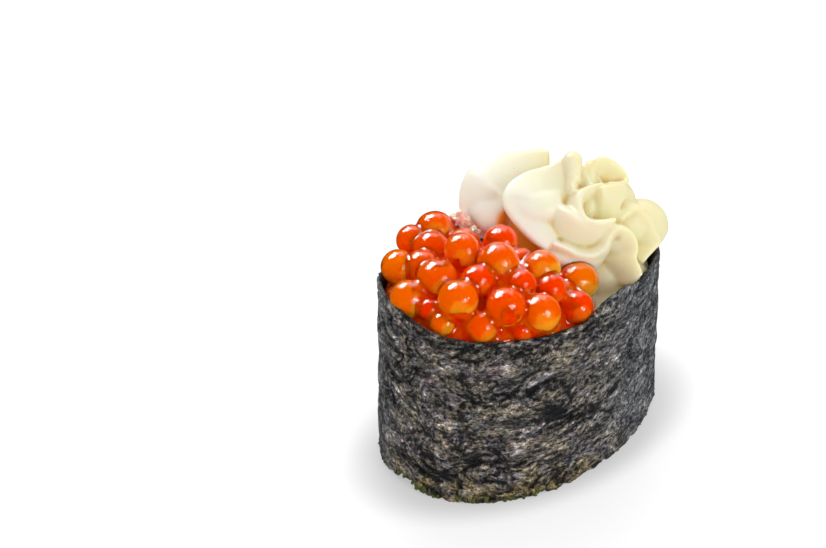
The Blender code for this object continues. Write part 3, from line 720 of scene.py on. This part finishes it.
def cream_material():
    """Piped cream cheese: pale ivory, with painted warm shade in its folds and hollows, a soft sheen and fine
    pits.
    """
    made = Nodes("cream")
    place = made.place()
    cloud = made.noise(place, 5 * MM, 3, 0.5)
    side = made.math("ADD", made.part_x(place), made.math("MULTIPLY", cloud, CREAM_TONE_REACH))
    colour = made.blend(made.fit(side, *CREAM_TONE_ENDS), CREAM_NEAR, CREAM_FAR)
    # Painted shade: warmer and darker in hollows and tight folds
    colour = made.blend(made.fit(made.value_of("hollow"), 0.1, 1.0), colour, CREAM_HOLLOW_SHADE)
    colour = made.blend(made.fit(made.value_of("fold"), 0.15, 1.0), colour, CREAM_FOLD_SHADE)
    colour = made.blend(made.value_of("stain"), colour, CREAM_STAIN)
    made.join(Base_Color=colour)
    fine = made.noise(place, 0.6 * MM, 4, 0.6)
    pits = made.add("ShaderNodeTexVoronoi", {"Vector": place, "Scale": 1 / (1.6 * MM)}).outputs["Distance"]
    rise = made.math("ADD", made.math("MULTIPLY", fine, 0.35), made.fit(pits, 0.04, 0.12))
    made.join(Normal=made.bump(rise, 0.06 * MM, 0.5), Roughness=made.fit(cloud, 0.3, 0.7, 0.36, 0.5))
    made.set(Subsurface_Weight=0.85, Subsurface_Radius=CREAM_GLOW, Subsurface_Scale=1.5 * MM)
    made.set(Specular_IOR_Level=0.4)
    return made.material


def rice_material():
    """Cooked sushi rice: milky, moist grains."""
    made = Nodes("rice")
    cloud = made.noise(made.place(), 1.2 * MM, 2, 0.5)
    made.join(Base_Color=made.ramp(cloud, *RICE_TONES), Roughness=made.fit(cloud, 0.3, 0.7, 0.3, 0.45))
    made.set(Subsurface_Weight=0.6, Subsurface_Radius=RICE_GLOW, Subsurface_Scale=1.5 * MM)
    return made.material


def floor_material():
    """Plain white studio surface with a faint gloss; its glow is weaker close to the food, a painted contact
    shadow.
    """
    made = Nodes("floor")
    place = made.vector_math("MULTIPLY", made.place(), (2 / BAND_LENGTH, 2 / BAND_WIDTH, 1.0))
    away = made.vector_math("LENGTH", place, output="Value")
    made.join(Emission_Strength=made.fit(away, *FLOOR_LIGHT_ENDS, *FLOOR_LIGHT))
    made.set(Base_Color=FLOOR_COLOUR, Roughness=0.3, Specular_IOR_Level=0.2, Emission_Color=WHITE)
    return made.material


# -------- nori

def relief(along, height):
    """How far the wrinkled sheet stands out at a place on it, and how deep in a crease it lies."""
    place = Vector((along, height, 0.0))
    bent = place + noise.noise_vector(place / WARP_SIZE) * WARP_REACH
    out = 0.0
    for size, rise in WRINKLES:
        out += rise * noise.noise(Vector((bent.x / size, bent.y / (size * 0.7), size / MM)))
    fold = abs(noise.noise(Vector((bent.x / CREASE_LENGTH, bent.y / CREASE_WIDTH, 9.0))))
    crease = smoothstep(1 - fold / CREASE_SHARE) * smoothstep(0.5 + 2.5 * noise.noise(place / CREASE_PATCH))
    return out - CREASE_DEPTH * crease, crease


def torn(along, seed):
    """Raggedness of an edge, from 0 to about 1: fine tears, in patches."""
    tear = noise.fractal(Vector((along / TORN_SIZE, seed, 0.0)), 0.7, 2.3, 4) + 0.15
    patch = smoothstep(0.5 + 1.6 * noise.noise(Vector((along / TORN_PATCH, seed, 5.0))))
    return max(tear, 0.0) * (0.25 + patch)


def tatter(chance):
    """One flake: its points, front then back, and its place on the sheet."""
    turn = math.radians(chance.triangular(*TATTER_SPAN))
    way = outward(turn, 0.0)
    size = chance.uniform(*TATTER_SIZE)
    lean = chance.uniform(*TATTER_LEAN)
    long = Vector((*way * math.sin(lean), -math.cos(lean)))
    wide = Vector((-way.y, way.x, chance.uniform(*TATTER_TWIST))).normalized()
    long = (long + wide * chance.uniform(*TATTER_SLANT)).normalized()
    out = wide.cross(long).normalized() * TATTER_THICKNESS
    rise = bump(turn, EDGE_LIFTS) + chance.uniform(*TATTER_RISE) * MM
    middle = Vector((*inset(turn, 0.0, chance.uniform(*TATTER_DEPTH) * MM), rise))
    rim = []
    for corner in range(TATTER_CORNERS):
        angle = 2 * math.pi * corner / TATTER_CORNERS
        reach = size * chance.uniform(*TATTER_RAGGED)
        rim.append(wide * math.cos(angle) * reach * TATTER_WIDTH + long * math.sin(angle) * reach)
    points = []
    for side in (out, -out):
        for arm in rim:
            place = middle + arm + side * (1 + chance.random())
            points.append((place.x, place.y, max(place.z, TATTER_THICKNESS)))
    return points, (turn * TATTER_RADIUS, size, 0.0)


def add_tatters(points, faces, layers):
    """Add the torn green flakes that hang on the sheet's lower edge."""
    chance = random.Random(TATTER_SEED)
    corners = range(TATTER_CORNERS)
    for _ in range(TATTERS):
        first = len(points)
        back = first + TATTER_CORNERS
        flake, place = tatter(chance)
        points.extend(flake)
        for layer, value in zip(layers, (place, TATTER_GREEN, 0.0, 0.0)):
            layer.extend([value] * len(flake))
        faces.append(tuple(first + corner for corner in corners))
        faces.append(tuple(back + corner for corner in reversed(corners)))
        for corner in corners:
            after = (corner + 1) % TATTER_CORNERS
            faces.append((first + corner, back + corner, back + after, first + after))


def sheet_faces():
    """Faces of the sheet, whose points go round it column by column, with both ends closed."""
    around = SHEET_ROWS + SHEET_BACK_ROWS + 2
    faces = []
    for first in range(0, SHEET_COLUMNS * around, around):
        for corner in range(around):
            after = (corner + 1) % around
            faces.append((first + corner, first + around + corner, first + around + after, first + after))
    last = SHEET_COLUMNS * around
    faces.append(tuple(range(around)))
    faces.append(tuple(last + corner for corner in reversed(range(around))))
    return faces


def nori_sheet():
    """The nori: one wrinkled sheet wrapped round the rice and lapped over itself at the back."""
    noise.seed_set(WARP_SEED)
    whole = 2 * math.pi + LAP_LENGTH
    radius = (BAND_LENGTH + BAND_WIDTH) / 4
    points, sheet, fringe, creases, inner = [], [], [], [], []
    front = [(row / SHEET_ROWS, 0.0, 1.0) for row in range(SHEET_ROWS + 1)]
    back = [(row / SHEET_BACK_ROWS, BAND_THICKNESS, 0.5) for row in range(SHEET_BACK_ROWS, -1, -1)]
    for column in range(SHEET_COLUMNS + 1):
        swept = whole * column / SHEET_COLUMNS
        turn = LAP_START + swept
        along = swept * radius
        over = smoothstep((swept - 2 * math.pi + LAP_RAMP) / LAP_RAMP) * (BAND_THICKNESS + LAP_GAP)
        low = bump(turn, EDGE_LIFTS) + torn(along, 7.0) * TORN_DEPTH
        high = rim_height(turn) - torn(along, 2.0) * TORN_DEPTH * TORN_RIM_SHARE
        for share, depth, part in front + back:
            height = low + (high - low) * share
            stand, crease = relief(along, height)
            flare = smoothstep(1 - height / FRINGE_HEIGHT) * FRINGE_FLARE * (0.2 + torn(along, 4.0))
            place = inset(turn, height, depth - over - stand * part - flare)
            points.append((*place, height))
            sheet.append((along, height, depth))
            patch = smoothstep(0.4 + 1.6 * noise.noise((along / FRINGE_PATCH, 3.0, 0.0)))
            fringe.append(smoothstep(1 - (height - low) / FRINGE_HEIGHT) * (0.25 + 0.75 * patch))
            creases.append(crease)
            inner.append(float(depth > 0))
    faces = sheet_faces()
    add_tatters(points, faces, (sheet, fringe, creases, inner))
    item = mesh_object("nori_sheet", points, faces)
    set_values(item.data, "sheet", sheet, "FLOAT_VECTOR")
    set_values(item.data, "edge", fringe)
    # The crease depth also drives the painted shade in the creases
    set_values(item.data, "crease", creases)
    # The inner face, painted in shade
    set_values(item.data, "inner", inner)
    set_values(item.data, "low", [smoothstep(1 - point[1] / (LOW_SHARE * BAND_HEIGHT)) for point in sheet])
    item.data.shade_smooth()
    return item


# -------- rice

def rice_grains():
    """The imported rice: a core, and the grains that show at its sides and under it."""
    shape = bmesh.new()
    low, high = (corner.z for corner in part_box("rice_block"))
    wall = BAND_THICKNESS + GAP + GRAIN_RADIUS
    add_prism(shape, (low + GRAIN_RADIUS, high), RICE_COLUMNS, lambda turn, height: inset(turn, height, wall))
    chance = random.Random(GRAIN_SEED)
    for level in range(int((high - low) / GRAIN_STEP)):
        height = low + GRAIN_RISE + level * GRAIN_STEP
        for column in range(GRAIN_COLUMNS):
            turn = 2 * math.pi * (column + chance.random() * GRAIN_SHIFT) / GRAIN_COLUMNS
            add_grain(shape, (*inset(turn, height, wall), height), turn + math.pi / 2, chance)
    reach = int(BAND_LENGTH / 2 / GRAIN_STEP)
    for column in range(-reach, reach + 1):
        for row in range(-reach, reach + 1):
            x = column + chance.random() * GRAIN_SCATTER[0]
            y = row * GRAIN_ROW + chance.random() * GRAIN_SCATTER[1]
            place = Vector((x, y)) * GRAIN_STEP
            if place.length < inset(turn_of(place.x, place.y), low, wall + GRAIN_RADIUS).length:
                add_grain(shape, (*place, low + GRAIN_RISE), chance.uniform(0, math.pi), chance)
    item = bmesh_object("rice_grains", shape)
    item.data.shade_smooth()
    return item


def add_grain(shape, place, turn, chance):
    """Add one plump grain of rice to a bmesh."""
    middle = Vector(place)
    sway = Matrix.Rotation(turn, 3, "Z") @ Matrix.Rotation(chance.uniform(-GRAIN_SWAY, GRAIN_SWAY), 3, "Y")
    length = GRAIN_LENGTH * chance.uniform(*GRAIN_LENGTHS)
    reach = Vector((length, GRAIN_RADIUS, GRAIN_RADIUS * GRAIN_FLATNESS))
    for vert in ball(shape, Vector(), (1.0, 1.0, 1.0), GRAIN_DETAIL):
        vert.co = middle + sway @ (vert.co * reach)


# -------- roe

def heap_height(place):
    """Height of the dome that the middles of the top eggs lie on."""
    away = place - HEAP_MIDDLE
    fall = (away.x / HEAP_REACH.x) ** 2 + (away.y / HEAP_REACH.y) ** 2
    return BAND_HEIGHT + HEAP_CROWN * (1 - fall)


def heap_eggs():
    """Middle, radius and tone of each egg in the heap."""
    eggs = []
    for *middle, radius, tone in HEAP_EGGS:
        eggs.append([Vector(middle) * MM, radius * MM, tone])
    chance = random.Random(HEAP_SEED)
    steps = int(2 * HEAP_REACH.x / FILL_STEP)
    for sink, press in FILL_LAYERS:
        for column in range(steps):
            for row in range(steps):
                spot = Vector((column + chance.random(), row + chance.random())) * FILL_STEP
                place = HEAP_MIDDLE - HEAP_REACH + spot
                radius = chance.uniform(*FILL_EGG)
                middle = Vector((*place, heap_height(place) - sink))
                tone = chance.random() * FILL_TONE
                before = place.x < divide(place.y, middle.z) - radius * FILL_OVERHANG
                if before and egg_fits(middle, radius, eggs, press):
                    eggs.append([middle, radius, tone])
    return eggs


def egg_fits(middle, radius, eggs, press):
    """Whether an egg has room between the others and inside the band, which it's moved into."""
    if middle.z < BAND_HEIGHT - radius:
        return False
    keep_egg_in(middle, radius)
    return all((middle - other).length > (radius + reach) * press for other, reach, _ in eggs)


def keep_egg_in(middle, radius):
    """Move an egg's middle so that it stays inside the band, where it is lower than the band's edge."""
    turn = turn_of(middle.x, middle.y)
    over = max(middle.z - rim_height(turn), 0.0)
    clear = math.sqrt(max(radius**2 - over**2, 0.0)) + WALL_CLEAR
    wall = inset(turn, BAND_HEIGHT, BAND_THICKNESS + clear)
    reach = math.hypot(middle.x, middle.y)
    if reach > wall.length:
        middle.x *= wall.length / reach
        middle.y *= wall.length / reach


def roe_eggs(eggs):
    """All the eggs, and the scraps of burst skin between them, as one joined mesh."""
    shape = bmesh.new()
    chance = random.Random(HEAP_SEED)
    spots, tones, skins = [], [], []
    for middle, radius, tone in eggs:
        verts = ball(shape, middle, (radius,) * 3, EGG_DETAIL)
        seed = random_way(chance) * 50
        squash = random_way(chance)
        sway = Matrix.Rotation(chance.uniform(-EGG_SWAY, EGG_SWAY), 3, random_way(chance))
        for vert in verts:
            way = (vert.co - middle) / radius
            dent = 1 + EGG_UNEVEN * noise.noise(way * 1.3 + seed) - EGG_SQUASH * squash.dot(way) ** 2
            vert.co = middle + way * radius * dent
            spots.append(sway @ way)
            tones.append(tone)
            skins.append(0.0)
    for x, y, z, radius in BURST_SKINS:
        middle = Vector((x, y, z)) * MM
        for vert in ball(shape, middle, (radius * MM,) * 3, EGG_DETAIL):
            way = (vert.co - middle).normalized()
            crumple = 0.7 + SKIN_CRUMPLE * noise.fractal(way * 1.6 + middle / MM, 0.9, 2.0, 3)
            vert.co = middle + way * radius * MM * crumple
            spots.append(way)
            tones.append(SKIN_TONE)
            skins.append(1.0)
    add_skin_arcs(shape, eggs, chance, (spots, tones, skins))
    item = bmesh_object("roe_eggs", shape)
    set_values(item.data, "spot", spots, "FLOAT_VECTOR")
    set_values(item.data, "tone", tones)
    set_values(item.data, "skin", skins)
    item.data.shade_smooth()
    return item


def random_way(chance):
    """A direction, any way."""
    return Vector([chance.gauss(0, 1) for _ in range(3)]).normalized()


def add_skin_arcs(shape, eggs, chance, layers):
    """Add thin scraps of pale skin that cling where eggs touch, to a bmesh."""
    for index, (first, reach, _) in enumerate(eggs):
        for second, other, _ in eggs[index + 1:]:
            gap = (second - first).length
            if gap > (reach + other) * SKIN_TOUCH or chance.random() > SKIN_SHARE:
                continue
            axis = (second - first) / gap
            along = (gap**2 + reach**2 - other**2) / (2 * gap)
            ring = math.sqrt(reach**2 - along**2) + SKIN_RADIUS * 0.3
            rise = (Vector((0, 0, 1)) - axis * axis.z).normalized()
            across = axis.cross(rise)
            span = chance.uniform(*SKIN_STARTS), chance.uniform(*SKIN_SWEEPS)
            add_arc(shape, first + axis * along, (rise, across, axis), ring, span, layers)


def add_arc(shape, middle, ways, ring, span, layers):
    """Add one thin, pointed, curved thread to a bmesh."""
    rise, across, axis = ways
    rows = []
    for step in range(SKIN_STEPS + 1):
        share = step / SKIN_STEPS
        turn = span[0] + span[1] * share
        out = rise * math.cos(turn) + across * math.sin(turn)
        thick = SKIN_RADIUS * (0.15 + math.sin(math.pi * share))
        row = []
        for corner in range(SKIN_CORNERS):
            angle = 2 * math.pi * corner / SKIN_CORNERS
            away = out * (ring + thick * math.cos(angle))
            row.append(shape.verts.new(middle + away + axis * thick * math.sin(angle)))
        rows.append(row)
    join_rings(shape, rows)
    for layer, value in zip(layers, (Vector((0, 0, 1)), SKIN_TONE, 1.0)):
        layer.extend([value] * len(rows) * SKIN_CORNERS)


def add_core(shape):
    """Add the mass under the eggs to a bmesh."""
    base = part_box("roe_heap")[0].z
    grid = []
    for ring in range(CORE_RINGS):
        share = 1 - ring / CORE_RINGS
        row = []
        for column in range(CORE_COLUMNS):
            turn = 2 * math.pi * column / CORE_COLUMNS
            wall = inset(turn, BAND_HEIGHT, BAND_THICKNESS + GAP + WALL_CLEAR)
            wall.x = min(wall.x, divide(wall.y, BAND_HEIGHT) - GAP)
            place = HEAP_MIDDLE + (wall - HEAP_MIDDLE) * share
            top = max(heap_height(place) - CORE_DEPTH, rim_height(turn) - CORE_RIM_DEPTH)
            row.append(shape.verts.new((*place, top)))
        grid.append(row)
    low = [shape.verts.new((vert.co.x, vert.co.y, base)) for vert in grid[0]]
    tip = shape.verts.new((*HEAP_MIDDLE, heap_height(HEAP_MIDDLE) - CORE_DEPTH))
    for column in range(CORE_COLUMNS):
        after = (column + 1) % CORE_COLUMNS
        for near, far in zip(grid, grid[1:]):
            shape.faces.new((near[column], near[after], far[after], far[column]))
        shape.faces.new((grid[-1][column], grid[-1][after], tip))
        shape.faces.new((low[column], low[after], grid[0][after], grid[0][column]))
    shape.faces.new(reversed(low))


def roe_juice(eggs):
    """The mass under the eggs, and the wet juice that fills the creases between them."""
    shape = bmesh.new()
    add_core(shape)
    for middle, radius, *_ in eggs:
        ball(shape, middle, (radius,) * 3, EGG_DETAIL - 1)
    item = bmesh_object("roe_juice", shape)
    unite(item, JUICE_VOXEL, JUICE_SMOOTHING)
    return item


# -------- cream

def smooth_line(points, step):
    """Points a step apart on a smooth curve through given points."""
    ends = [2 * points[0] - points[1], *points, 2 * points[-1] - points[-2]]
    line = []
    for first, second, third, fourth in zip(ends, ends[1:], ends[2:], ends[3:]):
        count = max(round((third - second).length / step), 1)
        for index in range(count):
            part = index / count
            straight = (third - first) * part
            square = (2 * first - 5 * second + 4 * third - fourth) * part**2
            cube = (3 * second - first - 3 * third + fourth) * part**3
            line.append(0.5 * (2 * second + straight + square + cube))
    return [*line, points[-1]]


def ridge(mesh, crest, half_width, depth, lean=0.0, hollow=0.0):
    """Add one piped ridge to a bmesh: a wedge with a round crest, swept along a smooth crest line."""
    line = smooth_line([Vector(point) * MM for point in crest], RIDGE_STEP)
    last = len(line) - 1
    rings = []
    side = None
    for station, point in enumerate(line):
        share = station / last
        along = (line[min(station + 1, last)] - line[max(station - 1, 0)]).normalized()
        out = point - CREAM_CORE_MIDDLE
        out = (out - along * out.dot(along)).normalized()
        before = side or point - CREAM_EYE
        side = along.cross(out)
        if side.dot(before) < 0:
            side.negate()
        swell = math.sin(math.pi * (RIDGE_END + (1 - 2 * RIDGE_END) * share)) ** RIDGE_ROUND_END
        width = half_width * MM * swell
        sink = depth * MM * (1 + swell) / 2
        ring = []
        for corner in range(RIDGE_AROUND):
            angle = 2 * math.pi * corner / RIDGE_AROUND
            down = (1 - math.cos(angle)) / 2
            across = math.sin(angle) * abs(math.sin(angle / 2)) ** RIDGE_SHARPNESS
            slope = (1 - hollow) * (1 - (1 - down) ** 2) + hollow * down**2
            ring.append(mesh.verts.new(point + side * (across - lean * slope) * width - out * down * sink))
        rings.append(ring)
    join_rings(mesh, rings)


def plug_side(turn, height):
    """Outline of the cream's plug: the band's inside, cut off where the roe begins."""
    place = inset(turn, height, BAND_THICKNESS + GAP)
    place.x = max(place.x, divide(place.y, height))
    return place


def keep_in_band(points):
    """Move points of the cream inside the band, where they are lower than its edge."""
    for point in points:
        if point[2] > CAD_BOX[1][2]:
            continue
        turn = turn_of(point[0], point[1])
        edge = rim_height(turn)
        room = bump(turn, RIM_ROOM)
        over = max(point[2] - edge - OVERHANG_START - room, 0.0) * OVERHANG_SLOPE
        room *= smoothstep((point[2] - edge) / RIM_ROOM_DEPTH + 1)
        limit = inset(turn, min(point[2], edge), BAND_THICKNESS + GAP + room - over).length
        reach = math.hypot(point[0], point[1])
        if reach > limit:
            point[:2] *= limit / reach


def softened(item, rounds):
    """The points of a piece as they lie once it is smoothed."""
    soften = item.modifiers.new("soften", "SMOOTH")
    soften.iterations = rounds
    mesh = item.evaluated_get(bpy.context.evaluated_depsgraph_get()).data
    points = read_points(mesh)
    item.modifiers.remove(soften)
    return points


def cream_swirl(eggs):
    """The piped cream: ridges over a core, joined into one skin and dented by the eggs that lean on it."""
    parts = bmesh.new()
    for sizes in CREAM_RIDGES:
        ridge(parts, *sizes)
    ball(parts, CREAM_CORE_MIDDLE, CREAM_CORE_REACH, 5, CREAM_CORE_TURN)
    for middle, reach in CREAM_BALLS:
        ball(parts, Vector(middle) * MM, Vector(reach) * MM, 4)
    add_prism(parts, (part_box("cream_swirl")[0].z, PLUG_TOP), PLUG_COLUMNS, plug_side)
    item = bmesh_object("cream_swirl_piped", parts)
    unite(item, CREAM_VOXEL, CREAM_SMOOTHING)
    mesh = item.data
    points = read_points(mesh)
    keep_in_band(points)
    for middle, radius, *_ in eggs:
        away = points - np.array(middle)
        reach = np.linalg.norm(away, axis=1)
        hit = reach < radius + EGG_DENT
        points[hit] = np.array(middle) + away[hit] / reach[hit][:, None] * (radius + EGG_DENT)
    mesh.vertices.foreach_set("co", points.ravel())
    mesh.update()
    normals = read_points(mesh, "normal")
    # How far each point lies below the smoothed skin, stored for the painted shade in folds and hollows
    for name, rounds, depth in CREAM_HOLLOWS:
        hollow = np.sum((softened(item, rounds) - points) * normals, axis=1) / depth
        set_values(mesh, name, np.clip(hollow, 0, 1))
    set_values(mesh, "stain", juice_stain(points))
    return item


def juice_stain(points):
    """How far the roe's juice has stained the cream's flank beside the heap."""
    first, last = (np.array(point) * MM for point in STAIN_LINE)
    along = last - first
    share = np.clip((points - first) @ along / (along @ along), 0, 1)
    away = np.linalg.norm(points - first - share[:, None] * along, axis=1)
    return np.clip(1 - (away - STAIN_CORE) / STAIN_FADE, 0, 1)


# -------- stage

def set_camera():
    """The camera, at the viewing angle of the photograph."""
    back = Vector((
        math.sin(CAMERA_AZIMUTH) * math.cos(CAMERA_ELEVATION),
        -math.cos(CAMERA_AZIMUTH) * math.cos(CAMERA_ELEVATION),
        math.sin(CAMERA_ELEVATION),
    ))
    right = Vector((math.cos(CAMERA_AZIMUTH), math.sin(CAMERA_AZIMUTH), 0.0))
    up = back.cross(right)
    aim = CAMERA_TARGET - right * CAMERA_LEFT + up * CAMERA_UP
    camera = bpy.data.cameras.new("camera")
    camera.lens = CAMERA_LENS
    camera.sensor_width = CAMERA_SENSOR
    item = add_object("camera", camera)
    item.location = CAMERA_TARGET + back * CAMERA_DISTANCE
    item.rotation_euler = (aim - item.location).to_track_quat("-Z", "Y").to_euler()
    bpy.context.scene.camera = item


def add_light(name, way, distance, size, power, whole):
    """A soft area light that looks at the food from a direction, or only shines in its highlights."""
    light = bpy.data.lights.new(name, "AREA")
    light.shape = "RECTANGLE"
    light.size, light.size_y = size
    light.energy = power
    item = add_object(name, light)
    item.location = CAMERA_TARGET + Vector(way).normalized() * distance
    item.rotation_euler = (CAMERA_TARGET - item.location).to_track_quat("-Z", "Y").to_euler()
    item.visible_diffuse = whole


def set_stage():
    """White floor, white surroundings and soft lights."""
    corners = [(x * FLOOR_REACH, y * FLOOR_REACH, 0) for x, y in ((-1, -1), (1, -1), (1, 1), (-1, 1))]
    floor = mesh_object("floor", corners, [(0, 1, 2, 3)])
    floor.data.materials.append(floor_material())
    floor.visible_glossy = False
    world = bpy.data.worlds.new("world")
    bpy.context.scene.world = world
    world.use_nodes = True
    background = world.node_tree.nodes["Background"].inputs
    background["Color"].default_value = WHITE
    background["Strength"].default_value = WORLD_LIGHT
    world.cycles_visibility.glossy = False
    for light in LIGHTS:
        add_light(*light)
    bpy.context.scene.view_settings.view_transform = "Standard"


def finish_piece(item, material, slot, *nodes):
    """Give a piece its material, and join it to the frame."""
    item.data.materials.clear()
    item.data.materials.append(material)
    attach(item, BODY)
    if nodes:
        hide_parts(*nodes)


set_camera()
set_stage()
EGGS = heap_eggs()
finish_piece(nori_sheet(), nori_material(), "nori", "nori_band")
finish_piece(roe_eggs(EGGS), roe_material(), "roe", "roe_heap")
finish_piece(roe_juice(EGGS), core_material(), "roe")
finish_piece(cream_swirl(EGGS), cream_material(), "cream", "cream_swirl")
finish_piece(rice_grains(), rice_material(), "rice", "rice_block")
